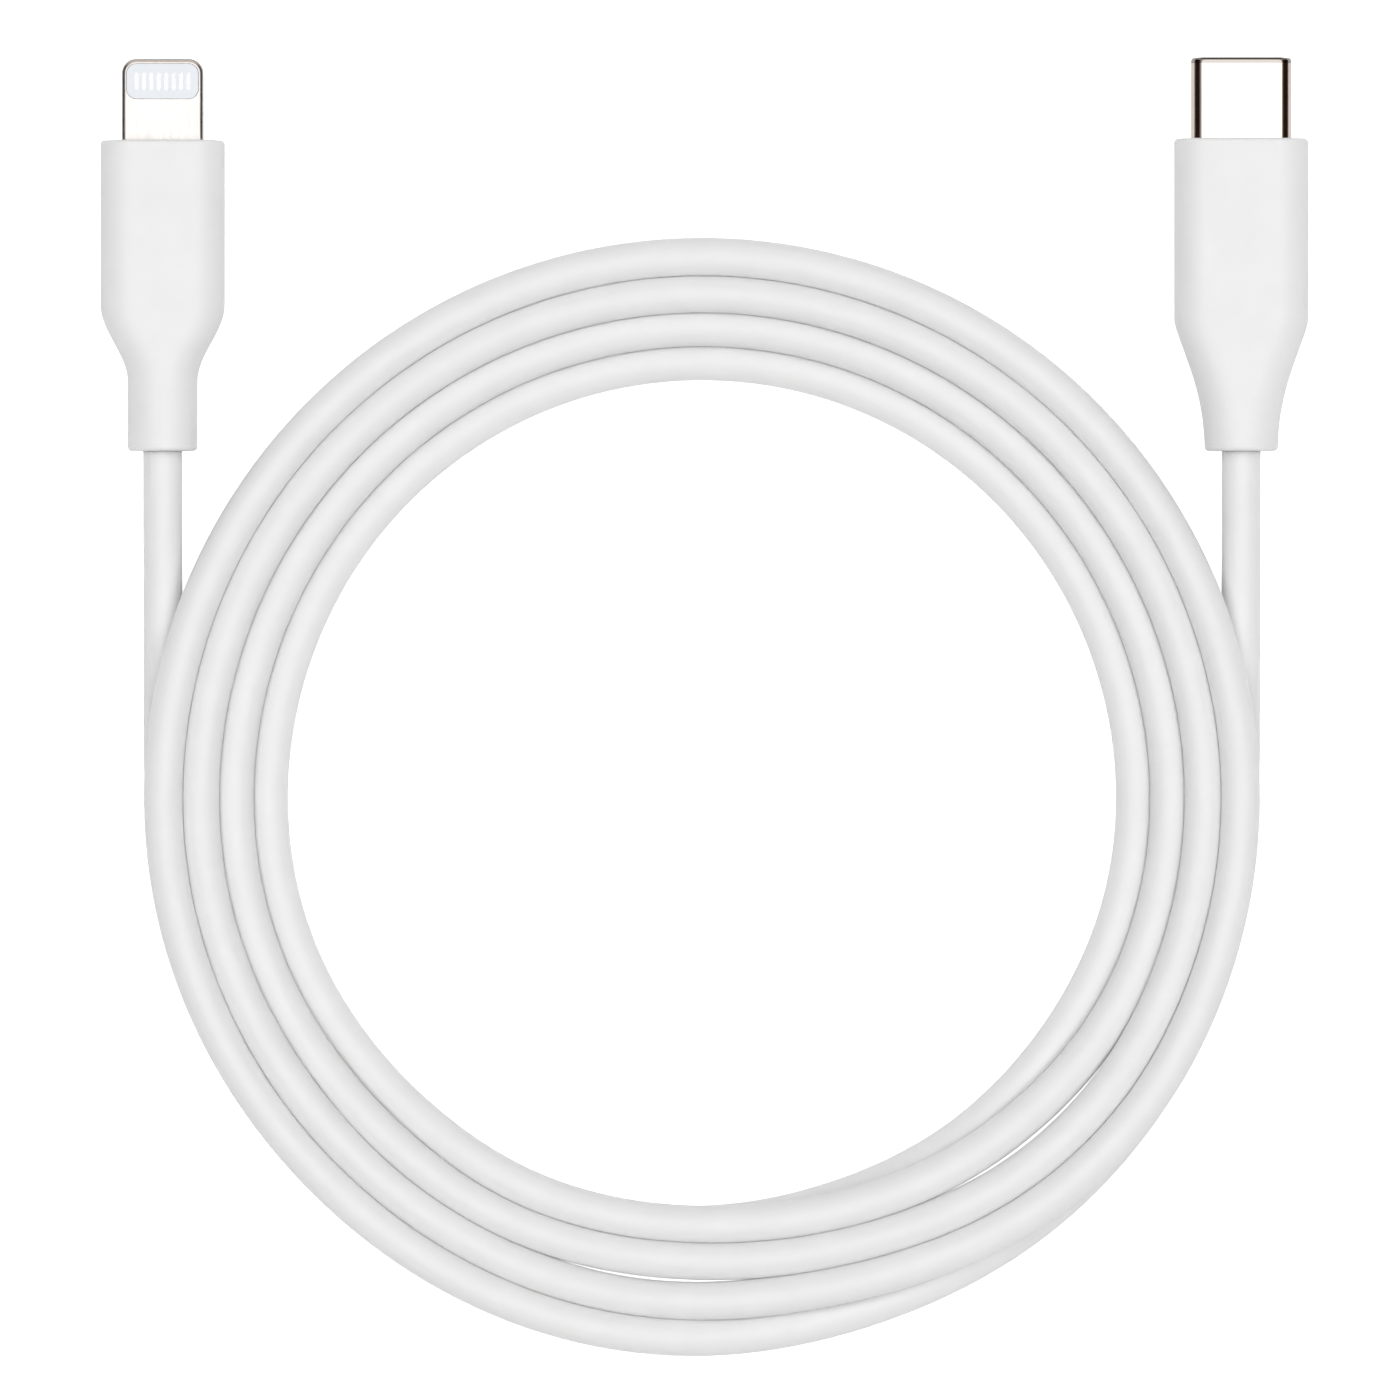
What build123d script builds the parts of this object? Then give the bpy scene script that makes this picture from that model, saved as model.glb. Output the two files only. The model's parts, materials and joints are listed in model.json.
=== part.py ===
from build123d import *
import os
from math import cos, pi, radians, sin, tan

# A phone charging cable: a flat eight-contact blade plug for the phone at one end, an oval reversible
# shell plug for the charger at the other, and a round cord wound into a four-turn coil between them.
# Millimetres. +Z up, the cable lies on z = 0. +Y points out of both plugs, +X from the phone plug to the
# charger plug. The origin is on the surface, midway between the two plugs.
# Each plug is drawn in its own frame: on the plug's axis, at the front face of its boot, +Y outwards.

# ---------------------------------------------------------------- driving dimensions
CORD_D = 3.2                  # outside diameter of the cord
CORD_R = CORD_D / 2
PLUG_SPREAD = 44.2            # each plug's axis stands this far from the middle
CORD_EXIT_Y = -16.1           # the cord leaves both boots here

# boots: soft overmoulded housings that end in a strain relief
PHONE_BOOT = dict(width=10.2, height=6.0, corner=2.7, length=25.45, neck=5.74,
                  shoulder=(13.4, 19.8), ease=1.0)
CHARGER_BOOT = dict(width=11.0, height=6.2, corner=2.8, length=25.6, neck=6.04,
                    shoulder=(14.9, 25.6), ease=0.66)
BOOT_FRONT_EDGE = 0.34
BOOT_REAR_EDGE = 0.36
MOULD_SIDE, MOULD_TOP = 0.95, 0.8        # the boot's walls round the hard inner mould

# blade plug
BLADE_W, BLADE_T, BLADE_OUT, BLADE_IN = 6.7, 1.5, 6.7, 3.4
BLADE_TIP_R = 1.2
BLADE_EDGE = 0.4
WINDOW_W, WINDOW_L, WINDOW_R = 5.85, 2.85, 0.8
WINDOW_Y = 4.845
WINDOW_EDGE = 0.06
PAD_COUNT, PAD_PITCH, PAD_W, PAD_L = 8, 0.607, 0.34, 1.46
PAD_Y = 4.83
PAD_RECESS = 0.03
TAIL_W, TAIL_T, TAIL_OVERLAP = 0.26, 0.12, 1.4   # each contact's tail, and how far it lies on the board
BLOCK_RECESS = 0.01
SLOT_W, SLOT_T = 5.1, 0.96    # the space inside the blade for the contact block's tail
CARRIER_BACK = -1.0           # the contact block ends here and the board begins
PHONE_BOARD_W, PHONE_NOSE_W = 6.4, 5.0
PHONE_SHIELD = (7.5, 3.5)
PHONE_WIRE_X = 1.7
# width, length, height, x, y and face of each chip and small component
PHONE_CHIPS = ((2.4, 2.4, 0.7, 0.9, -5.6, 1), (2.0, 2.0, 0.6, -0.9, -5.5, -1))
PHONE_COMPONENTS = ((0.5, 1.0, 0.5, -1.4, -5.0, 1), (0.5, 1.0, 0.5, -2.2, -5.0, 1),
                    (0.5, 1.0, 0.5, -1.4, -6.6, 1), (0.5, 1.0, 0.5, 1.2, -5.0, -1),
                    (0.5, 1.0, 0.5, 2.0, -5.0, -1), (0.5, 1.0, 0.5, 1.2, -6.6, -1))

# oval shell plug
SHELL_W, SHELL_T, SHELL_OUT, SHELL_IN, SHELL_WALL = 8.25, 2.4, 6.65, 3.2, 0.22
LIP_LENGTH, LIP_WALL, LIP_EDGE = 0.3, 0.36, 0.3     # the shell's mouth is rolled inwards
LINER_GAP = 0.03
LINER_FRONT, LINER_BACK = 0.35, -2.6     # the liner stands back from the shell's mouth, and ends here
CAVITY_W, CAVITY_T, CAVITY_DEPTH, CAVITY_CORNER = 6.84, 1.0, 5.3, 0.2
SPRING_W, SPRING_T = 0.22, 0.14
SPRING_PITCH = 0.5
UPPER_SPRINGS = (-5.5, -2.5, -1.5, -0.5, 0.5, 2.5, 5.5)
LOWER_SPRINGS = (-5.5, -2.5, -1.5, 2.5, 5.5)
SPRING_SLOT_W, SPRING_ROOM = 0.3, 0.42   # the slot each spring bends in
SPRING_ROOT_Y, SPRING_TIP_Y = 0.9, 5.35
SPRING_Z, SPRING_BUMP_Z = 0.56, 0.24
SPRING_BUMP = (1.35, 0.75, 0.6, 0.05)    # the bump's four corners, measured back from the spring's tip
SPRING_TOE = 1.4              # how far each contact's tail lies on the board
LATCH_ROOT_Y, LATCH_TIP_Y = 0.7, 5.0
LATCH_X, LATCH_T, LATCH_H, LATCH_HOOK = 3.44, 0.2, 0.56, 0.3
LATCH_HOOK_Y = (0.45, 0.6, 0.95)         # the hook's three corners, measured back from the latch's tip
LATCH_BACK = -2.3
LATCH_SLOT_W = 1.2
GROUND_Y, GROUND_L, GROUND_W, GROUND_T = 5.72, 0.3, 4.6, 0.08
FINGER_X, FINGER_W, FINGER_REACH, FINGER_KNEE = 1.5, 1.1, 0.6, 0.35
CHARGER_BOARD_W, CHARGER_BOARD_FRONT = 7.0, -2.9
CHARGER_SHIELD = (8.5, 3.7)
CHARGER_WIRE_X = 2.0
CHARGER_COMPONENTS = ((1.6, 1.6, 0.6, 0.0, -6.2, 1), (0.5, 1.0, 0.5, -1.9, -6.2, 1),
                      (0.5, 1.0, 0.5, 1.9, -6.2, 1), (0.5, 1.0, 0.5, -0.8, -6.2, -1),
                      (0.5, 1.0, 0.5, 0.8, -6.2, -1))

# what both boots hold behind their front faces
INNER_FRONT, INNER_BACK = -0.9, -13.4
SHIELD_FRONT, SHIELD_BACK, SHIELD_WALL, SHIELD_CORNER = -2.2, -12.6, 0.15, 1.2
BOARD_T, BOARD_BACK = 0.6, -11.0
CRIMP_FRONT, CRIMP_BACK = -13.4, -16.2
BRAID_T, CRIMP_T = 0.2, 0.25
CRIMP_D = CORD_D + 2 * (BRAID_T + CRIMP_T)
JACKET_FRONT = -13.0
JACKET_BORE = 2.1
WIRE_D, WIRE_RING, WIRE_BEND_R = 0.74, 0.6, 0.7
WIRE_LIFT = 0.04              # the wires' ends lie this far off the board
WIRE_BEND_Y, WIRE_END_Y = -11.5, -10.0   # behind the board, and where the wires meet their solder
SOLDER, SOLDER_EDGE = (0.9, 0.9, 0.5), 0.15

# coil: places are (radius, height) of the cord's centre, from the outermost turn in. Each turn leans on the
# shoulder of the next one in, and at the far side, where no strand lies beneath them, the outer turns sag.
COIL_Y = -44.5
TOUCH = 0.95 * CORD_D         # strands that lie on each other press a little into their soft jackets
RAISED_Z = CORD_R + TOUCH     # the height of a strand that lies on one below it
TURNS = ((44.2, RAISED_Z), (41.22, 3.97), (38.42, 2.78), (35.62, CORD_R))
SAGGED = ((44.37, 4.05), (41.4, 3.78), (38.66, 2.72), (35.88, CORD_R))
CROSSING_ARC = (208, 336)     # a strand crosses beneath all the turns here, in degrees round the coil from +X
CROSSING_GIVE = 0.7           # and the innermost gives way by this much
GROOVE_GAP = 0.01
LEAD_BEND_Y = (-21.5, -31.0)  # the lead drops from its plug's axis to the surface between these
LEAD_ARC = 0.45               # share of the shorter run that each bend of a lead takes

NEAR = 0.01                   # how close an edge has to be to count as lying at a place
THROUGH = 30                  # longer than either boot, for holes that go right through


# ---------------------------------------------------------------- small helpers
def block(width, y0, y1, z0, z1, x=0.0):
    return Pos(x, (y0 + y1) / 2, (z0 + z1) / 2) * Box(width, abs(y1 - y0), abs(z1 - z0))


def rod(diameter, y0, y1, x=0.0, z=0.0):
    return Pos(x, (y0 + y1) / 2, z) * Rot(90, 0, 0) * Cylinder(diameter / 2, abs(y1 - y0))


def cross_plane(y):
    """A plane across the plug at y, with +X to the right and +Z up."""
    return Plane(origin=(0, y, 0), x_dir=(1, 0, 0), z_dir=(0, -1, 0))


def bar(width, height, corner, y_front, y_back):
    """A straight bar of rounded rectangular section, from y_front back to y_back."""
    return extrude(cross_plane(y_front) * RectangleRounded(width, height, corner), y_front - y_back)


def oval_bar(width, height, y_front, y_back):
    return bar(width, height, height / 2 - 0.002, y_front, y_back)


def joined(shapes):
    """Several separate solids as one node."""
    return Compound(children=[s for shape in shapes for s in shape.solids()])


def edges_at_y(shape, y):
    return shape.edges().filter_by_position(Axis.Y, y - NEAR, y + NEAR)


# ---------------------------------------------------------------- boots
def boot_width(boot, behind):
    """Width of a boot at a distance behind its front face, eased from its body down to its neck."""
    start, end = boot["shoulder"]
    t = min(max((behind - start) / (end - start), 0.0), 1.0)
    return boot["neck"] + (boot["width"] - boot["neck"]) * (1 + cos(pi * t ** boot["ease"])) / 2


def boot_section(boot, behind):
    """The body is a flattened oval and the neck is round, so height and corners follow the width."""
    width = boot_width(boot, behind)
    share = (boot["width"] - width) / (boot["width"] - boot["neck"])
    height = boot["height"] + (boot["neck"] - boot["height"]) * share
    corner = boot["corner"] + (boot["neck"] / 2 - 0.02 - boot["corner"]) * share
    return cross_plane(-behind) * RectangleRounded(width, height, corner)


def boot_outside(boot):
    start, end = boot["shoulder"]
    steps = 12
    body = extrude(boot_section(boot, 0), start)
    shoulder = loft([boot_section(boot, start + (end - start) * i / steps) for i in range(steps + 1)])
    whole = body + shoulder
    if boot["length"] > end:
        whole += extrude(boot_section(boot, end), boot["length"] - end)
    whole = fillet(edges_at_y(whole, 0), BOOT_FRONT_EDGE)
    return fillet(edges_at_y(whole, -boot["length"]), BOOT_REAR_EDGE)


def inner_mould_outside(boot):
    """The hard inner mould: a block round the shield, with a collar round the crimp."""
    width, height = boot["width"] - 2 * MOULD_SIDE, boot["height"] - 2 * MOULD_TOP
    mould = bar(width, height, boot["corner"] - MOULD_TOP, INNER_FRONT, INNER_BACK)
    return mould + rod(CRIMP_D, INNER_BACK + 0.1, CRIMP_BACK)


# ---------------------------------------------------------------- what both plugs hold
def shield_space(size):
    return bar(*size, SHIELD_CORNER, SHIELD_FRONT, SHIELD_BACK)


def shield_halves(size):
    """A two-piece steel can round the board, split on the plug's mid-plane."""
    width, height = size
    inner = bar(width - 2 * SHIELD_WALL, height - 2 * SHIELD_WALL, SHIELD_CORNER - SHIELD_WALL,
                SHIELD_FRONT - SHIELD_WALL, SHIELD_BACK + SHIELD_WALL)
    can = shield_space(size) - inner - rod(CORD_D, SHIELD_BACK - 1, SHIELD_BACK + 1)
    upper = can & block(2 * width, 0, -THROUGH, 0, height)
    lower = can & block(2 * width, 0, -THROUGH, -height, 0)
    return upper, lower


def wire_places(pad_x):
    """For four wires: where each lies in the cord, and the pad that it goes to. Two go to each face."""
    reach = BOARD_T / 2 + WIRE_D / 2 + WIRE_LIFT
    ring = WIRE_RING * sin(pi / 4)
    corners = (("power", -1, 1), ("data_plus", 1, 1), ("ground", -1, -1), ("data_minus", 1, -1))
    return {name: ((side * ring, face * ring), (side * pad_x, face * reach)) for name, side, face in corners}


def wire(start, end, length):
    """An insulated conductor, from the boot's rear inside the jacket to its pad on the board."""
    (x0, z0), (x1, z1) = start, end
    path = FilletPolyline(
        (x0, -length, z0), (x0, JACKET_FRONT + 0.1, z0), (x1, WIRE_BEND_Y, z1), (x1, WIRE_END_Y, z1),
        radius=WIRE_BEND_R)
    section = Plane(origin=(x0, -length, z0), x_dir=(1, 0, 0), z_dir=(0, 1, 0)) * Circle(WIRE_D / 2)
    return sweep(section, path)


def solder(pad_x):
    """One rounded joint in front of each wire's end, on both faces of the board."""
    width, length, height = SOLDER
    joints = []
    for side in (-1, 1):
        for face in (-1, 1):
            z0 = face * BOARD_T / 2
            joint = block(width, WIRE_END_Y, WIRE_END_Y + length, min(z0, z0 + face * height),
                          max(z0, z0 + face * height), side * pad_x)
            outer_face = joint.faces().sort_by(Axis.Z)[-1 if face > 0 else 0]
            joints.append(chamfer(outer_face.edges(), SOLDER_EDGE))
    return joined(joints)


def cord_end(boot):
    """The jacket inside the strain relief, the braid folded back over it, and the crimp ring."""
    braid_d = CORD_D + 2 * BRAID_T
    jacket = rod(CORD_D, JACKET_FRONT, -boot["length"]) - rod(JACKET_BORE, 0, -THROUGH)
    braid = rod(braid_d, CRIMP_FRONT, CRIMP_BACK) - rod(CORD_D, 0, -THROUGH)
    crimp = rod(CRIMP_D, CRIMP_FRONT, CRIMP_BACK) - rod(braid_d, 0, -THROUGH)
    return {"jacket_end": jacket, "braid_end": braid, "crimp_ring": crimp}


def boot_and_filling(boot, shield_size, plug_hole, pad_x):
    """The boot with what every plug holds behind its front end: can, mould, cord end, wires and solder."""
    mould = inner_mould_outside(boot)
    cord_hole = rod(CORD_D, SHIELD_BACK + 0.05, -THROUGH)
    collar = rod(CRIMP_D, CRIMP_FRONT, CRIMP_BACK)
    upper, lower = shield_halves(shield_size)
    parts = {"shield_top": upper - plug_hole, "shield_bottom": lower - plug_hole}
    parts.update(cord_end(boot))
    parts["inner_mould"] = mould - shield_space(shield_size) - plug_hole - collar - cord_hole
    parts["boot"] = boot_outside(boot) - mould - plug_hole - cord_hole
    for name, (start, end) in wire_places(pad_x).items():
        parts[f"{name}_wire"] = wire(start, end, boot["length"])
    parts["solder_joints"] = solder(pad_x)
    return parts


# ---------------------------------------------------------------- phone plug
def blade_outline(width, tip_y, back_y, tip_radius):
    plan = Pos(0, (tip_y + back_y) / 2) * Rectangle(width, tip_y - back_y)
    return fillet(plan.vertices().group_by(Axis.Y)[-1], tip_radius)


def window_outline():
    return Pos(0, WINDOW_Y) * RectangleRounded(WINDOW_W, WINDOW_L, WINDOW_R)


def on_a_face(edge):
    """Whether an edge of the blade lies in one of its two flat faces."""
    return abs(edge.center().Z) > BLADE_T / 2 - NEAR


def blade_frame():
    """The steel ground frame: a window through both faces, and a slot from the rear."""
    blade = extrude(blade_outline(BLADE_W, BLADE_OUT, -BLADE_IN, BLADE_TIP_R), BLADE_T / 2, both=True)
    rims = [e for e in blade.edges() if on_a_face(e) and e.center().Y > -BLADE_IN + NEAR]
    blade = fillet(rims, BLADE_EDGE)
    blade -= extrude(window_outline(), BLADE_T, both=True)
    window_rims = [e for e in blade.edges() if on_a_face(e) and abs(e.center().X) < WINDOW_W / 2 + NEAR
                   and abs(e.center().Y - WINDOW_Y) < WINDOW_L / 2 + NEAR]
    blade = fillet(window_rims, WINDOW_EDGE)
    return blade - block(SLOT_W, WINDOW_Y, -BLADE_IN - 1, -SLOT_T / 2, SLOT_T / 2)


def pad_outline(index, z=0):
    x = (index - (PAD_COUNT - 1) / 2) * PAD_PITCH
    return Pos(x, PAD_Y, z) * SlotOverall(PAD_L, PAD_W, rotation=90)


def contact_solid(index, face):
    """One contact: its pad in the window, and a tail that runs back inside the blade to the board."""
    x = (index - (PAD_COUNT - 1) / 2) * PAD_PITCH
    top, board = BLADE_T / 2 - PAD_RECESS, BOARD_T / 2
    pad = extrude(pad_outline(index, face * top), -face * (top - board))
    tail = block(TAIL_W, WINDOW_Y, CARRIER_BACK - TAIL_OVERLAP, face * board, face * (board + TAIL_T), x)
    return pad + tail


def phone_contacts(face):
    return joined([contact_solid(i, face) for i in range(PAD_COUNT)])


def contact_carrier(contacts):
    """The moulded block that fills the window flush with both faces and holds the contacts."""
    block_in_window = extrude(window_outline(), BLADE_T / 2 - BLOCK_RECESS, both=True)
    carrier = block_in_window + block(SLOT_W, WINDOW_Y, CARRIER_BACK, -SLOT_T / 2, SLOT_T / 2)
    core = block(BLADE_W, BLADE_OUT, 0, -BOARD_T / 2, BOARD_T / 2)
    for index in range(PAD_COUNT):
        carrier -= extrude(pad_outline(index), BLADE_T, both=True) - core
    return carrier - contacts


def phone_board():
    """A board with a narrow nose inside the blade and a wide rear inside the shield."""
    nose = block(PHONE_NOSE_W, CARRIER_BACK, -BLADE_IN - 0.3, -BOARD_T / 2, BOARD_T / 2)
    return nose + block(PHONE_BOARD_W, -BLADE_IN - 0.2, BOARD_BACK, -BOARD_T / 2, BOARD_T / 2)


def on_board(places):
    """Blocks on the board's faces, from (width, length, height, x, y, face) for each."""
    blocks = []
    for width, length, height, x, y, face in places:
        low, high = sorted((face * BOARD_T / 2, face * (BOARD_T / 2 + height)))
        blocks.append(block(width, y - length / 2, y + length / 2, low, high, x))
    return joined(blocks)


def phone_plug():
    contacts = {face: phone_contacts(face) for face in (1, -1)}
    blade_hole = bar(BLADE_W, BLADE_T, BLADE_EDGE, 0, -BLADE_IN)
    parts = boot_and_filling(PHONE_BOOT, PHONE_SHIELD, blade_hole, PHONE_WIRE_X)
    parts["blade_frame"] = blade_frame()
    parts["contacts_top"], parts["contacts_bottom"] = contacts[1], contacts[-1]
    parts["contact_block"] = contact_carrier(contacts[1]) - contacts[-1]
    parts["circuit_board"] = phone_board()
    parts["control_chips"] = on_board(PHONE_CHIPS)
    parts["board_parts"] = on_board(PHONE_COMPONENTS)
    return parts


# ---------------------------------------------------------------- charger plug
def shell_plug_shell():
    """A drawn steel tube of oval section, its mouth rolled inwards to a lip."""
    outer = fillet(edges_at_y(oval_bar(SHELL_W, SHELL_T, SHELL_OUT, -SHELL_IN), SHELL_OUT), LIP_EDGE)
    bore = oval_bar(SHELL_W - 2 * SHELL_WALL, SHELL_T - 2 * SHELL_WALL, SHELL_OUT - LIP_LENGTH, -SHELL_IN - 1)
    mouth = oval_bar(SHELL_W - 2 * LIP_WALL, SHELL_T - 2 * LIP_WALL, SHELL_OUT + 1, 0)
    return outer - bore - mouth


def spring_profile(face):
    """Side view of one contact spring: a straight leaf with a rounded bump near its tip."""
    z, bump = SPRING_Z, SPRING_BUMP_Z
    tip, root = SPRING_TIP_Y, SPRING_ROOT_Y
    rise, top, fall, end = (tip - back for back in SPRING_BUMP)
    outline = Polyline((root, z), (rise, z), (top, bump), (fall, bump), (end, z),
                       (tip, z + 0.04), (tip, z + SPRING_T), (root, z + SPRING_T), close=True)
    side = Plane(origin=(0, 0, 0), x_dir=(0, 1, 0), z_dir=(1, 0, 0)) * make_face(outline)
    return side if face > 0 else side.mirror(Plane.XY)


def charger_springs(places, face):
    """The free leaves of one row of contacts."""
    return joined([Pos(x * SPRING_PITCH, 0, 0) * extrude(spring_profile(face), SPRING_W / 2, both=True)
                   for x in places])


def charger_tails(places, face):
    """The fixed halves of one row of contacts: through the liner and onto the board."""
    tails = []
    z_board, z_top = BOARD_T / 2, SPRING_Z + SPRING_T
    foot_y = LINER_BACK - 0.02
    for x in places:
        root = block(SPRING_W, SPRING_ROOT_Y - 0.02, foot_y - SPRING_T, SPRING_Z, z_top, x * SPRING_PITCH)
        foot = block(SPRING_W, foot_y, foot_y - SPRING_T, z_board, z_top, x * SPRING_PITCH)
        toe = block(SPRING_W, foot_y, foot_y - SPRING_TOE, z_board, z_board + SPRING_T, x * SPRING_PITCH)
        tail = root + foot + toe
        tails.append(tail if face > 0 else tail.mirror(Plane.XY))
    return joined(tails)


def latch(side):
    """A side latch leaf: straight, with an inward hook near its tip."""
    x0, x1 = LATCH_X, LATCH_X + LATCH_T
    hook_front, hook_back, hook_end = (LATCH_TIP_Y - back for back in LATCH_HOOK_Y)
    plan = Polyline((x0, LATCH_ROOT_Y), (x1, LATCH_ROOT_Y), (x1, LATCH_TIP_Y), (x0, LATCH_TIP_Y),
                    (x0 - LATCH_HOOK, hook_front), (x0 - LATCH_HOOK, hook_back), (x0, hook_end), close=True)
    leaf = extrude(make_face(plan), LATCH_H / 2, both=True)
    return leaf if side > 0 else leaf.mirror(Plane.YZ)


def latch_anchor(side):
    """The fixed rear half of the latch, down to the board's edge."""
    middle = LATCH_X + LATCH_T / 2
    anchor = block(LATCH_T, LATCH_ROOT_Y - 0.02, LATCH_BACK, -LATCH_H / 2, LATCH_H / 2, middle)
    return anchor if side > 0 else anchor.mirror(Plane.YZ)


def ground_spring(face):
    """A strip under the shell with two fingers that lean into the mouth."""
    z0 = SHELL_T / 2 - SHELL_WALL - LINER_GAP - GROUND_T
    strip = block(GROUND_W, GROUND_Y, GROUND_Y - GROUND_L, z0, z0 + GROUND_T)
    knee_y, tip_y, cavity = GROUND_Y + FINGER_KNEE, GROUND_Y + FINGER_REACH, CAVITY_T / 2
    finger = Polyline((GROUND_Y, z0 + GROUND_T), (GROUND_Y, z0), (knee_y, cavity - 0.02),
                      (tip_y, cavity + 0.05), (tip_y, cavity + 0.13), (knee_y, cavity + 0.07), close=True)
    for x in (-FINGER_X, FINGER_X):
        side = Plane(origin=(x, 0, 0), x_dir=(0, 1, 0), z_dir=(1, 0, 0))
        strip += extrude(side * make_face(finger), FINGER_W / 2, both=True)
    return strip if face > 0 else strip.mirror(Plane.XY)


def liner_cuts(places, front):
    """What the springs and the ground strip of the upper face need cut out of the liner."""
    cuts = []
    for x in places:
        cuts.append(block(SPRING_SLOT_W, SPRING_TIP_Y + 0.05, SPRING_ROOT_Y - 0.03, 0,
                          SPRING_Z + SPRING_ROOM, x * SPRING_PITCH))
        cuts.append(block(SPRING_W, SPRING_ROOT_Y + 0.1, -THROUGH, SPRING_Z, SPRING_Z + SPRING_T,
                          x * SPRING_PITCH))
    strip_z = SHELL_T / 2 - SHELL_WALL - LINER_GAP - GROUND_T
    cuts.append(block(GROUND_W + 0.1, GROUND_Y + 0.02, GROUND_Y - GROUND_L - 0.05, strip_z, SHELL_T))
    for x in (-FINGER_X, FINGER_X):
        cuts.append(block(FINGER_W + 0.1, front + 1, GROUND_Y - 0.05, CAVITY_T / 2 - 0.1, SHELL_T, x))
    return cuts


def liner():
    """The moulded insulator inside the shell, cut away for springs, latches and ground strips."""
    gap = 2 * (SHELL_WALL + LINER_GAP)
    front = SHELL_OUT - LINER_FRONT
    body = oval_bar(SHELL_W - gap, SHELL_T - gap, front, LINER_BACK)
    body -= bar(CAVITY_W, CAVITY_T, CAVITY_CORNER, front + 1, front - CAVITY_DEPTH)
    for face, places in ((1, UPPER_SPRINGS), (-1, LOWER_SPRINGS)):
        for cut in liner_cuts(places, front):
            body -= cut if face > 0 else cut.mirror(Plane.XY)
    for side in (-1, 1):
        body -= block(LATCH_SLOT_W, LATCH_TIP_Y + 0.15, LATCH_ROOT_Y - 0.03, -LATCH_H / 2 - 0.06,
                      LATCH_H / 2 + 0.06, side * (LATCH_X + 0.5))
        body -= block(LATCH_T, LATCH_ROOT_Y + 0.1, -THROUGH, -LATCH_H / 2, LATCH_H / 2,
                      side * (LATCH_X + LATCH_T / 2))
    return body


def charger_plug():
    shell_hole = oval_bar(SHELL_W, SHELL_T, 0.5, -SHELL_IN)
    parts = boot_and_filling(CHARGER_BOOT, CHARGER_SHIELD, shell_hole, CHARGER_WIRE_X)
    parts["shell"] = shell_plug_shell()
    parts["liner"] = liner()
    for row, places, face in (("upper", UPPER_SPRINGS, 1), ("lower", LOWER_SPRINGS, -1)):
        parts[f"springs_{row}"] = charger_springs(places, face)
        parts[f"contact_tails_{row}"] = charger_tails(places, face)
        parts[f"ground_spring_{row}"] = ground_spring(face)
    parts["latch_left"], parts["latch_right"] = latch(-1), latch(1)
    parts["latch_anchors"] = joined([latch_anchor(-1), latch_anchor(1)])
    parts["circuit_board"] = block(CHARGER_BOARD_W, CHARGER_BOARD_FRONT, BOARD_BACK,
                                   -BOARD_T / 2, BOARD_T / 2)
    parts["board_parts"] = on_board(CHARGER_COMPONENTS)
    return parts


# ---------------------------------------------------------------- cord
def lead_route(side, axis_z):
    """From the boot, straight out, down to the surface, and on beneath the coil's outer turn."""
    x, (bend, landing) = side * PLUG_SPREAD, LEAD_BEND_Y
    return [(x, CORD_EXIT_Y, axis_z), (x, bend, axis_z), (x, landing, CORD_R), (x, COIL_Y, CORD_R)]


def bend_radii(points):
    """Each corner's arc is as large as its two runs allow."""
    radii = []
    for a, b, c in zip(points, points[1:], points[2:]):
        before, after = Vector(b) - Vector(a), Vector(c) - Vector(b)
        turn = radians(before.get_angle(after))
        radii.append(LEAD_ARC * min(before.length, after.length) / tan(turn / 2))
    return radii


def lead(side, axis_z, radius=CORD_R):
    points = lead_route(side, axis_z)
    radii = bend_radii(points)
    path = FilletPolyline(*points, radius=radii)
    tube = sweep(Plane(origin=points[0], x_dir=(1, 0, 0), z_dir=(0, -1, 0)) * Circle(radius), path)
    if radius == CORD_R:
        print(f"lead {side:+d}: bend radii {[round(r, 1) for r in radii]}, volume over section times length "
              f"{tube.volume / (pi * radius**2 * path.length):.4f}")
    return tube


def revolved_hull(centres, start, end):
    """The outer shape of strands at the given (radius, height) centres, round part of the coil."""
    rims = [edge for radius, height in centres for edge in (Pos(radius, height) * Circle(CORD_R)).edges()]
    section = Plane.XZ * make_hull(rims)
    return Rot(0, 0, start) * revolve(section, Axis.Z, end - start)


def coil(leads):
    """One closed solid of the coil's outer shape, with grooves where the leads come in beneath it."""
    outer, inner = TURNS[0][0], TURNS[-1][0]
    turns = revolved_hull(TURNS + SAGGED, 0, 360)
    beneath = revolved_hull([(outer, CORD_R), TURNS[0], TURNS[-1]], 180, 360)
    crossing = revolved_hull([(r, z) for r in (outer, inner - CROSSING_GIVE) for z in (CORD_R, RAISED_Z)],
                             *CROSSING_ARC)
    whole = Pos(0, COIL_Y, 0) * (turns + beneath + crossing)
    for groove in leads:
        whole -= groove
    return whole


# ---------------------------------------------------------------- the whole cable
def placed(parts, prefix, x, boot):
    place = Pos(x, CORD_EXIT_Y + boot["length"], boot["height"] / 2)
    return {f"{prefix}_{name}": place * shape for name, shape in parts.items()}


def main():
    nodes = placed(phone_plug(), "phone", -PLUG_SPREAD, PHONE_BOOT)
    nodes.update(placed(charger_plug(), "charger", PLUG_SPREAD, CHARGER_BOOT))
    plugs = (("phone", -1, PHONE_BOOT["height"] / 2), ("charger", 1, CHARGER_BOOT["height"] / 2))
    for name, side, axis_z in plugs:
        nodes[f"cord_{name}_lead"] = lead(side, axis_z)
    nodes["cord_coil"] = coil([lead(side, axis_z, CORD_R + GROOVE_GAP) for _, side, axis_z in plugs])
    os.makedirs("parts", exist_ok=True)
    for name, shape in nodes.items():
        export_step(shape, f"parts/{name}.step")


main()
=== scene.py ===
import json
from math import cos, radians, sin

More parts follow.
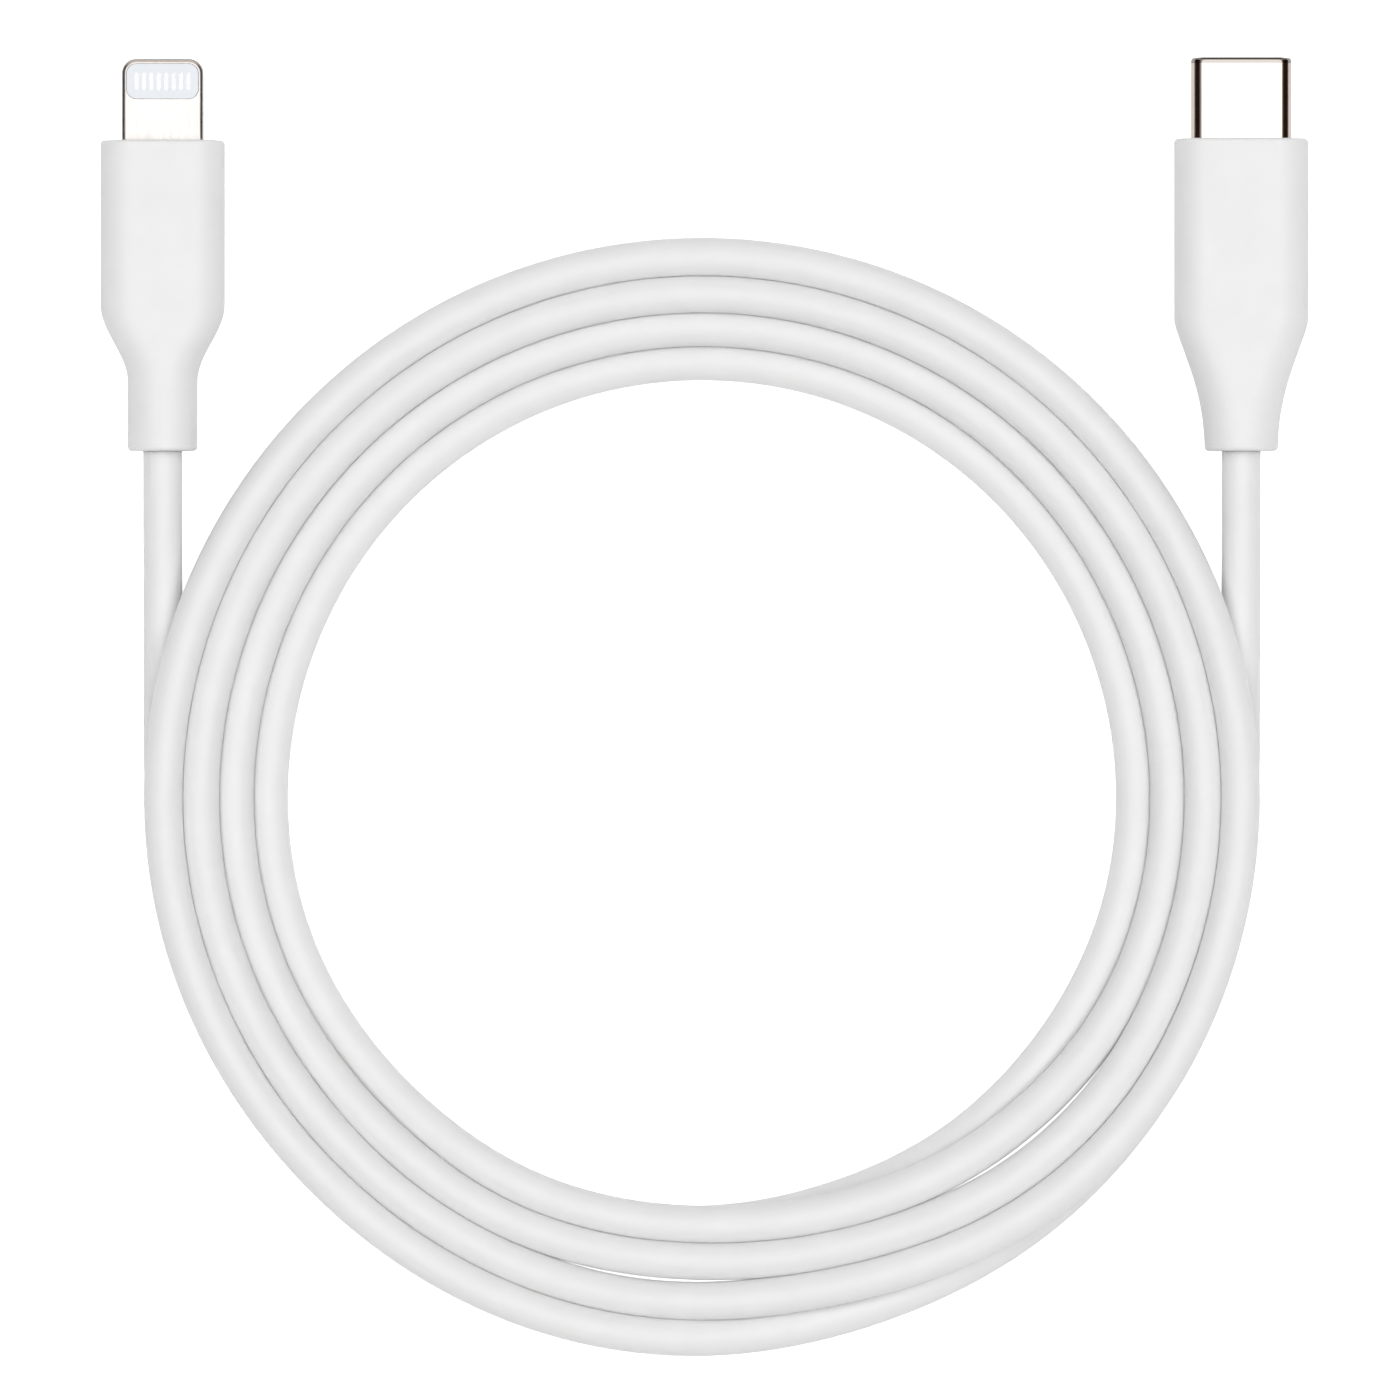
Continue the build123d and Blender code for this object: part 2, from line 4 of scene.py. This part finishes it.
import bpy
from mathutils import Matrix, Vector


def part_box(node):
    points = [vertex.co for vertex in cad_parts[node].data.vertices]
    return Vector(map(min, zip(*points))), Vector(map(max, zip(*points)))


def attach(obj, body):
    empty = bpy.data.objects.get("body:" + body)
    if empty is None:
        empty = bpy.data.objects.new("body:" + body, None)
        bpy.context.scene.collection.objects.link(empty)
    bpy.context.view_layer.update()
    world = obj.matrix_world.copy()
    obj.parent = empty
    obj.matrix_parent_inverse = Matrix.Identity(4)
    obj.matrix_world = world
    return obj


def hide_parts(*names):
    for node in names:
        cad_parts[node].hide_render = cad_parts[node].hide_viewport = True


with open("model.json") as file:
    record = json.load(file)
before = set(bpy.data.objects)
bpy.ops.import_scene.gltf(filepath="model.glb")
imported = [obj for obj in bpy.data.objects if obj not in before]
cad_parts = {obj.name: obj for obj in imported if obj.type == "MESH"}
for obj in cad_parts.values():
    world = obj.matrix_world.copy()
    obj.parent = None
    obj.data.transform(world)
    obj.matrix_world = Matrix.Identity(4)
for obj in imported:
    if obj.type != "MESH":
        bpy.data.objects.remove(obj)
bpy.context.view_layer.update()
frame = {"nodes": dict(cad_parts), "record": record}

MM = 0.001
BODY = "cable"

# ---------------------------------------------------------------- sizes, in millimetres
CORD_D = 3.2
CORD_R = CORD_D / 2
PLUG_SPREAD = 44.2            # each plug's axis stands this far from the middle
PLUG_AXIS_Z = {"phone": 3.0, "charger": 3.1}
CORD_EXIT_Y = -16.1
LEAD_BEND_Y = (-21.5, -31.0)
COIL_Y = -44.5

# ---------------------------------------------------------------- the coil
# Seen from above, the cord comes in beneath the outermost turn, crosses beneath the others on the near
# side of the coil and comes out from under them as the innermost turn. In each round it then steps out by
# one place, in the same stretch, and at last it goes back beneath the outermost turn and leaves on the
# other side. Angles are degrees of winding within a round, from 0 where the phone's lead comes in: 90 is
# the near side and 270 the far side. Places are (radius, height) of the cord's centre.
TOUCH = 0.95 * CORD_D         # strands that lie on each other press a little into their soft jackets
LOW = CORD_R
HIGH = CORD_R + TOUCH
BENEATH = (44.2, LOW)
# from the outermost turn in: each leans on the shoulder of the next, and the innermost lies on the surface
TURNS = ((44.2, HIGH), (41.22, 3.97), (38.42, 2.78), (35.62, LOW))
# and at the far side, where nothing holds the outer turns up, they sag
SAGGED = ((44.37, 4.05), (41.4, 3.78), (38.66, 2.72), (35.88, LOW))
SAG_START, SAG_END = (188, 258), (282, 352)
CROSSING = (8, 88)            # the first strand crosses beneath the others here
STEP = (88, 152)              # and the others step outwards here
CLOSED_UP = (134, 174)        # by here the strands have closed up again
SLACK = ((45, 36, -0.3), (108, 24, -0.3))               # all strands are drawn in here
# for each round: its place before and after the step, where it climbs over the crossing strand and comes
# down again, where and how far it gives way inwards, and where it stands off. A standing off, like the
# slack, is (centre, reach, distance outwards).
ROUNDS = (
    dict(places=(BENEATH, TURNS[3]), climb=None, drop=None, spread=(60, 88), give=0.45, stands_off=()),
    dict(places=(TURNS[3], TURNS[2]), climb=(30, 64), drop=(116, 166), spread=(20, 60), give=0.3,
         stands_off=((84, 24, -0.28), (134, 28, -0.4))),
    dict(places=(TURNS[2], TURNS[1]), climb=(24, 54), drop=(118, 164), spread=(20, 60), give=0.14,
         stands_off=((84, 24, -0.34), (134, 28, 0.1))),
    dict(places=(TURNS[1], TURNS[0]), climb=(14, 42), drop=None, spread=(20, 60), give=0.0,
         stands_off=((84, 24, 0.16), (134, 28, 0.1))),
    dict(places=(TURNS[0], BENEATH), climb=None, drop=None, spread=(20, 60), give=-0.1, stands_off=()),
)
DIVE = (82, 120)              # the last strand goes down beneath the outermost turn here
ROUND = 360
WINDING = 4.5 * ROUND
WINDING_STEP = 7.5


def ease(x, start, end):
    """0 before start, 1 after end, and a smooth change between."""
    t = min(max((x - start) / (end - start), 0.0), 1.0)
    return t * t * (3 - 2 * t)


def mix(a, b, t):
    return a + (b - a) * t


def swell(x, centre, reach):
    """1 at the centre, falling smoothly to 0 at the reach on both sides."""
    return ease(x, centre - reach, centre) * (1 - ease(x, centre, centre + reach))


def near_place(number, a):
    """A strand's place in the near half of the coil, where the strands cross."""
    turn = ROUNDS[number]
    (radius_a, height_a), (radius_b, height_b) = turn["places"]
    radius = mix(radius_a, radius_b, ease(a, *(CROSSING if number == 0 else STEP)))
    radius -= turn["give"] * ease(a, *turn["spread"]) * (1 - ease(a, *CLOSED_UP))
    for centre, reach, distance in turn["stands_off"] + SLACK:
        radius += distance * swell(a, centre, reach)
    last = number == len(ROUNDS) - 1
    height = mix(height_a, height_b, ease(a, *(DIVE if last else STEP)))
    if turn["climb"]:
        lift = ease(a, *turn["climb"])
        if turn["drop"]:
            lift *= 1 - ease(a, *turn["drop"])
        height = mix(height, HIGH, lift)
    return radius, height


def far_place(turn, a):
    """A turn's place in the far half, where it sags."""
    sag = ease(a, *SAG_START) * (1 - ease(a, *SAG_END))
    return [mix(held, sagged, sag) for held, sagged in zip(TURNS[turn], SAGGED[turn])]


def coil_point(winding):
    """The cord's centre after so many degrees of winding."""
    number = min(int(winding // ROUND), len(ROUNDS) - 1)
    a = winding - ROUND * number
    innermost = len(TURNS) - 1
    radius, height = near_place(number, a) if a <= ROUND / 2 else far_place(innermost - number, a)
    angle = radians(180 + a)
    return (radius * cos(angle), COIL_Y + radius * sin(angle), height)


def lead(x, axis_z):
    """A plug's lead, from its neck down to the surface and along to the coil."""
    return [(x, CORD_EXIT_Y, axis_z), (x, LEAD_BEND_Y[0], axis_z),
            (x, LEAD_BEND_Y[1], CORD_R), (x, COIL_Y, CORD_R)]


def cord_route():
    count = int(WINDING / WINDING_STEP)
    coil = [coil_point(i * WINDING_STEP) for i in range(1, count)]
    charger_lead = lead(PLUG_SPREAD, PLUG_AXIS_Z["charger"])
    return lead(-PLUG_SPREAD, PLUG_AXIS_Z["phone"]) + coil + charger_lead[::-1]


# ---------------------------------------------------------------- shader nodes
def shader(name):
    material = bpy.data.materials.new(name)
    material.use_nodes = True
    nodes, links = material.node_tree.nodes, material.node_tree.links
    return material, nodes, links, nodes["Principled BSDF"]


def noise(nodes, links, scale, detail=4.0, stretch=(1, 1, 1)):
    """Noise in the object's own space, in metres; scale is in features per metre."""
    coords = nodes.new("ShaderNodeTexCoord")
    mapping = nodes.new("ShaderNodeMapping")
    mapping.inputs["Scale"].default_value = stretch
    texture = nodes.new("ShaderNodeTexNoise")
    texture.inputs["Scale"].default_value = scale
    texture.inputs["Detail"].default_value = detail
    links.new(coords.outputs["Object"], mapping.inputs["Vector"])
    links.new(mapping.outputs["Vector"], texture.inputs["Vector"])
    return texture.outputs["Fac"]


def ramp(nodes, links, source, low, high, stops=(0.3, 0.7)):
    node = nodes.new("ShaderNodeValToRGB")
    node.color_ramp.elements[0].position, node.color_ramp.elements[1].position = stops
    node.color_ramp.elements[0].color = (*low, 1)
    node.color_ramp.elements[1].color = (*high, 1)
    links.new(source, node.inputs["Fac"])
    return node.outputs["Color"]


def map_range(nodes, links, source, start, end, low=0.0, high=1.0, smooth=False):
    node = nodes.new("ShaderNodeMapRange")
    if smooth:
        node.interpolation_type = "SMOOTHSTEP"
    for name, value in (("From Min", start), ("From Max", end), ("To Min", low), ("To Max", high)):
        node.inputs[name].default_value = value
    links.new(source, node.inputs["Value"])
    return node


def maths(nodes, links, operation, *values):
    """A Math node; each value is a number or another node's output."""
    node = nodes.new("ShaderNodeMath")
    node.operation = operation
    for socket, value in zip(node.inputs, values):
        if isinstance(value, float):
            socket.default_value = value
        else:
            links.new(value, socket)
    return node.outputs["Value"]


def mixed(nodes, links, factor, a, b):
    """A mix of two colours, each a tuple or another node's output."""
    node = nodes.new("ShaderNodeMix")
    node.data_type = "RGBA"
    links.new(factor, node.inputs["Factor"])
    for name, value in (("A", a), ("B", b)):
        if isinstance(value, tuple):
            node.inputs[name].default_value = (*value, 1)
        else:
            links.new(value, node.inputs[name])
    return node.outputs["Result"]


def bumps(nodes, links, source, depth):
    """Fine relief of the given depth, in millimetres."""
    bump = nodes.new("ShaderNodeBump")
    bump.inputs["Strength"].default_value = 1.0
    bump.inputs["Distance"].default_value = depth * MM
    links.new(source, bump.inputs["Height"])
    return bump.outputs["Normal"]


def grey(value):
    return (value, value, value)


# ---------------------------------------------------------------- materials
PLASTIC_PATCHES, METAL_PATCHES = 350, 500      # patches of colour per metre
FINER = 3                     # patches of roughness are so many times finer than those of colour
PLASTIC_ROUGH, METAL_ROUGH = (-0.04, 0.05), (-0.04, 0.06)
LEAST_ROUGH = 0.02
SCRATCHES, SCRATCH_DEPTH = 6000, 0.0006        # per metre, and in millimetres
# painted reflections on the rolled edge at the shell's mouth, two brownish-grey bands and a dark line: how
# far behind the mouth, in millimetres, each painted tone fades in
PAINTED_MOUTH_REFLECTIONS = (((0.47, 0.45), (0.30, 0.275, 0.255)), ((0.40, 0.38), (0.365, 0.345, 0.325)),
               ((0.16, 0.14), (0.03, 0.025, 0.02)))
PAINTED_DARK_LINE_END = (3.2, 3.5)    # the painted dark reflection line fades out here, to each side of the shell's middle


def moulded(name, low, high, roughness, grain, depth, subsurface=0.0, reach=0.5):
    """A moulded or extruded plastic: slight patches of colour, and a fine grain."""
    material, nodes, links, bsdf = shader(name)
    links.new(ramp(nodes, links, noise(nodes, links, PLASTIC_PATCHES), low, high), bsdf.inputs["Base Color"])
    smoothest, roughest = (grey(roughness + change) for change in PLASTIC_ROUGH)
    rough = ramp(nodes, links, noise(nodes, links, PLASTIC_PATCHES * FINER), smoothest, roughest)
    links.new(rough, bsdf.inputs["Roughness"])
    links.new(bumps(nodes, links, noise(nodes, links, grain, detail=2), depth), bsdf.inputs["Normal"])
    if subsurface:
        bsdf.inputs["Subsurface Weight"].default_value = subsurface
        bsdf.inputs["Subsurface Radius"].default_value = (1.0, 1.0, 1.0)
        bsdf.inputs["Subsurface Scale"].default_value = reach * MM
    return material


def metal(name, low, high, roughness, stretch=(1, 1, 1)):
    """Drawn or plated metal: faint tone patches, and fine scratches along one direction."""
    material, nodes, links, bsdf = shader(name)
    bsdf.inputs["Metallic"].default_value = 1.0
    links.new(ramp(nodes, links, noise(nodes, links, METAL_PATCHES), low, high), bsdf.inputs["Base Color"])
    scratches = noise(nodes, links, SCRATCHES, detail=3, stretch=stretch)
    smoothest, roughest = (grey(max(roughness + change, LEAST_ROUGH)) for change in METAL_ROUGH)
    links.new(ramp(nodes, links, scratches, smoothest, roughest), bsdf.inputs["Roughness"])
    links.new(bumps(nodes, links, scratches, SCRATCH_DEPTH), bsdf.inputs["Normal"])
    return material


def make_materials():
    return {
        "boot_white": moulded("boot_white", grey(0.885), grey(0.905), 0.45, 9000, 0.004, subsurface=0.2),
        "mould_white": moulded("mould_white", grey(0.68), grey(0.74), 0.5, 7000, 0.004),
        "jacket_white": moulded("jacket_white", grey(0.862), grey(0.882), 0.42, 12000, 0.003,
                                subsurface=1.0, reach=0.9),
        "window_white": moulded("window_white", (0.82, 0.86, 0.90), (0.85, 0.885, 0.925), 0.3, 8000, 0.001),
        "liner_black": moulded("liner_black", grey(0.02), grey(0.035), 0.45, 9000, 0.002),
        "polished_steel": metal("polished_steel", (0.64, 0.58, 0.54), (0.69, 0.63, 0.59), 0.07, (1, 0.08, 1)),
        "nickel_steel": metal("nickel_steel", (0.62, 0.60, 0.57), (0.70, 0.68, 0.65), 0.3),
        "spring_steel": metal("spring_steel", (0.66, 0.65, 0.63), (0.74, 0.73, 0.71), 0.22, (1, 0.1, 1)),
        "contact_plating": metal("contact_plating", (0.43, 0.435, 0.44), (0.455, 0.46, 0.465), 0.16,
                                 (1, 0.1, 1)),
        "contact_gold": metal("contact_gold", (0.82, 0.60, 0.26), (0.92, 0.72, 0.36), 0.2, (1, 0.1, 1)),
        "braid_copper": metal("braid_copper", (0.70, 0.42, 0.28), (0.85, 0.60, 0.45), 0.35),
        "solder": metal("solder", (0.62, 0.62, 0.62), (0.75, 0.75, 0.75), 0.3),
        "board_green": moulded("board_green", (0.008, 0.07, 0.03), (0.015, 0.12, 0.05), 0.35, 8000, 0.002),
        "component_tan": moulded("component_tan", (0.28, 0.19, 0.11), (0.36, 0.26, 0.17), 0.5, 9000, 0.002),
        "chip_black": moulded("chip_black", grey(0.012), grey(0.025), 0.5, 12000, 0.002),
        "wire_red": moulded("wire_red", (0.40, 0.012, 0.01), (0.52, 0.02, 0.015), 0.4, 9000, 0.002),
        "wire_black": moulded("wire_black", grey(0.012), grey(0.025), 0.4, 9000, 0.002),
        "wire_green": moulded("wire_green", (0.01, 0.13, 0.03), (0.02, 0.20, 0.05), 0.4, 9000, 0.002),
        "wire_white": moulded("wire_white", grey(0.70), grey(0.78), 0.4, 9000, 0.002),
    }


def make_shell_steel_with_painted_reflections():
    """The plug shell's polished steel, with reflections painted into its colour along the rolled edge of the
    sheet at its mouth: brownish-grey bands and a dark line.
    """
    material = metal("shell_steel_painted_reflections", (0.66, 0.58, 0.52), (0.71, 0.63, 0.57), 0.07, (1, 0.08, 1))
    nodes, links = material.node_tree.nodes, material.node_tree.links
    colour_in = nodes["Principled BSDF"].inputs["Base Color"]
    (low_x, _, _), (high_x, mouth_y, _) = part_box("charger_shell")
    split = nodes.new("ShaderNodeSeparateXYZ")
    links.new(nodes.new("ShaderNodeTexCoord").outputs["Object"], split.inputs["Vector"])
    off_middle = maths(nodes, links, "SUBTRACT", split.outputs["X"], (low_x + high_x) / 2)
    off_middle = maths(nodes, links, "ABSOLUTE", off_middle)
    # the painted dark reflection line runs only between the shell's corners
    line_start, line_end = (value * MM for value in PAINTED_DARK_LINE_END)
    painted_dark_line_span = map_range(nodes, links, off_middle, line_start, line_end, 1.0, 0.0).outputs["Result"]

    # paint the mouth's reflections into the steel's colour, band after band: brownish-grey bands, then a dark
    # line
    colour = colour_in.links[0].from_socket
    for zone in PAINTED_MOUTH_REFLECTIONS:
        (start, end), painted_tone = zone
        edge = map_range(nodes, links, split.outputs["Y"], mouth_y - start * MM, mouth_y - end * MM)
        if zone is PAINTED_MOUTH_REFLECTIONS[-1]:
            links.new(painted_dark_line_span, edge.inputs["To Max"])
        colour = mixed(nodes, links, edge.outputs["Result"], colour, painted_tone)
    links.new(colour, colour_in)
    return material


def dress_cad_nodes(materials):
    for entry in frame["record"]["subparts"]:
        node = frame["nodes"][entry["node"]]
        node.data.materials.clear()
        node.data.materials.append(materials[entry["material_slot"]])
        node.data.polygons.foreach_set("use_smooth", [True] * len(node.data.polygons))
    # the shell's steel has reflections painted into its colour at the mouth
    frame["nodes"]["charger_shell"].data.materials[0] = make_shell_steel_with_painted_reflections()
    blade_steel = metal("blade_steel", (0.50, 0.48, 0.465), (0.53, 0.51, 0.495), 0.28, (1, 0.08, 1))
    frame["nodes"]["phone_blade_frame"].data.materials[0] = blade_steel


# ---------------------------------------------------------------- pieces
def make_cord(materials):
    curve = bpy.data.curves.new("cord", "CURVE")
    curve.dimensions = "3D"
    curve.bevel_depth = CORD_R * MM
    curve.bevel_resolution = 8
    curve.resolution_u = 4
    curve.use_fill_caps = True
    route = cord_route()
    spline = curve.splines.new("NURBS")
    spline.points.add(len(route) - 1)
    for point, place in zip(spline.points, route):
        point.co = (*(value * MM for value in place), 1)
    spline.order_u = 3
    spline.use_endpoint_u = True
    cord = bpy.data.objects.new("cord", curve)
    bpy.context.scene.collection.objects.link(cord)
    curve.materials.append(materials["jacket_white"])
    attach(cord, BODY)
    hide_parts("cord_phone_lead", "cord_coil", "cord_charger_lead")


# ---------------------------------------------------------------- floor, light and camera
VIEW_CENTRE = Vector((-0.16, -36.5, 3.0)) * MM
VIEW_WIDTH = 114.75 * MM      # what the frame takes in at the plugs' middle height
LENS, SENSOR = 500.0, 36.0
CLIP = (0.01, 10)             # metres
LIGHT = 2.21
LIGHT_TILT = 3.0              # towards +X, in degrees
LIGHT_REACH = (31, 38)        # degrees from its middle: full strength up to the first, none from the second
SURROUNDINGS = 0.33
# what the metal mirrors beyond the light: along Y, and along X from low down up to the light's rim
WARM_END, DARK_SIDE = (1.15, 1.01, 0.92), (0.022, 0.012, 0.008)
COOL_RIM, BROWN_RIM = (0.50, 0.53, 0.56), (0.60, 0.48, 0.38)
END_START = (0.62, 0.72)      # the warm end fades in over this much of the direction's Y
RIM_HEIGHT = (0.60, 0.82)     # and the rim over this much of its Z
RIM_CHANGE = (-0.1, 0.1)      # and its tone changes over this much of its X
FLOOR_HALF = 2.0              # metres
FLOOR_TONE, FLOOR_ROUGHNESS = 0.9, 0.9
FLOOR_GLOW, FLOOR_GLOW_SEEN = 0.1, 1.0
MIRRORED_FLOOR = (0.019, 0.022)     # metal mirrors the floor only up to here, in metres


def make_floor():
    mesh = bpy.data.meshes.new("floor")
    corners = [(x * FLOOR_HALF, y * FLOOR_HALF, 0) for x, y in ((-1, -1), (1, -1), (1, 1), (-1, 1))]
    mesh.from_pydata(corners, [], [(0, 1, 2, 3)])
    floor = bpy.data.objects.new("floor", mesh)
    bpy.context.scene.collection.objects.link(floor)
    material, nodes, links, bsdf = shader("floor_white")
    bsdf.inputs["Roughness"].default_value = FLOOR_ROUGHNESS
    bsdf.inputs["Emission Color"].default_value = (1, 1, 1, 1)
    path = nodes.new("ShaderNodeLightPath")
    glow = map_range(nodes, links, path.outputs["Is Camera Ray"], 0.0, 1.0, FLOOR_GLOW, FLOOR_GLOW_SEEN)
    links.new(glow.outputs["Result"], bsdf.inputs["Emission Strength"])
    far = map_range(nodes, links, path.outputs["Ray Length"], *MIRRORED_FLOOR).outputs["Result"]
    lost = maths(nodes, links, "MULTIPLY", path.outputs["Is Glossy Ray"], far)
    links.new(mixed(nodes, links, lost, grey(FLOOR_TONE), DARK_SIDE), bsdf.inputs["Base Color"])
    mesh.materials.append(material)


def make_light():
    """A large soft light overhead, dim surroundings, and what the metal mirrors beyond the light."""
    world = bpy.data.worlds.new("studio")
    bpy.context.scene.world = world
    world.use_nodes = True
    nodes, links = world.node_tree.nodes, world.node_tree.links
    nodes.clear()
    direction = nodes.new("ShaderNodeTexCoord").outputs["Generated"]
    path = nodes.new("ShaderNodeLightPath")

    towards = nodes.new("ShaderNodeVectorMath")
    towards.operation = "DOT_PRODUCT"
    towards.inputs[1].default_value = (sin(radians(LIGHT_TILT)), 0, cos(radians(LIGHT_TILT)))
    links.new(direction, towards.inputs[0])
    full, edge = (cos(radians(angle)) for angle in LIGHT_REACH)
    softbox = map_range(nodes, links, towards.outputs["Value"], edge, full, smooth=True)

    split = nodes.new("ShaderNodeSeparateXYZ")
    links.new(direction, split.inputs["Vector"])
    rim = map_range(nodes, links, split.outputs["Z"], *RIM_HEIGHT, smooth=True)
    rim_tone = ramp(nodes, links, split.outputs["X"], COOL_RIM, BROWN_RIM, RIM_CHANGE)
    side = mixed(nodes, links, rim.outputs["Result"], DARK_SIDE, rim_tone)
    along = maths(nodes, links, "ABSOLUTE", split.outputs["Y"])
    end = ramp(nodes, links, along, grey(0.0), grey(1.0), END_START)
    mirrored = mixed(nodes, links, end, side, WARM_END)
    around = mixed(nodes, links, path.outputs["Is Glossy Ray"], grey(SURROUNDINGS), mirrored)
    lit = mixed(nodes, links, softbox.outputs["Result"], around, grey(LIGHT))
    seen = mixed(nodes, links, path.outputs["Is Camera Ray"], lit, grey(1.0))
    background, output = nodes.new("ShaderNodeBackground"), nodes.new("ShaderNodeOutputWorld")
    links.new(seen, background.inputs["Color"])
    links.new(background.outputs["Background"], output.inputs["Surface"])


def make_camera():
    data = bpy.data.cameras.new("camera")
    data.lens, data.sensor_width = LENS, SENSOR
    data.clip_start, data.clip_end = CLIP
    camera = bpy.data.objects.new("camera", data)
    bpy.context.scene.collection.objects.link(camera)
    camera.location = VIEW_CENTRE + Vector((0, 0, VIEW_WIDTH * LENS / SENSOR))
    bpy.context.scene.camera = camera


bpy.context.scene.view_settings.view_transform = "Standard"
make_camera()
make_light()
make_floor()
MATERIALS = make_materials()
dress_cad_nodes(MATERIALS)
make_cord(MATERIALS)
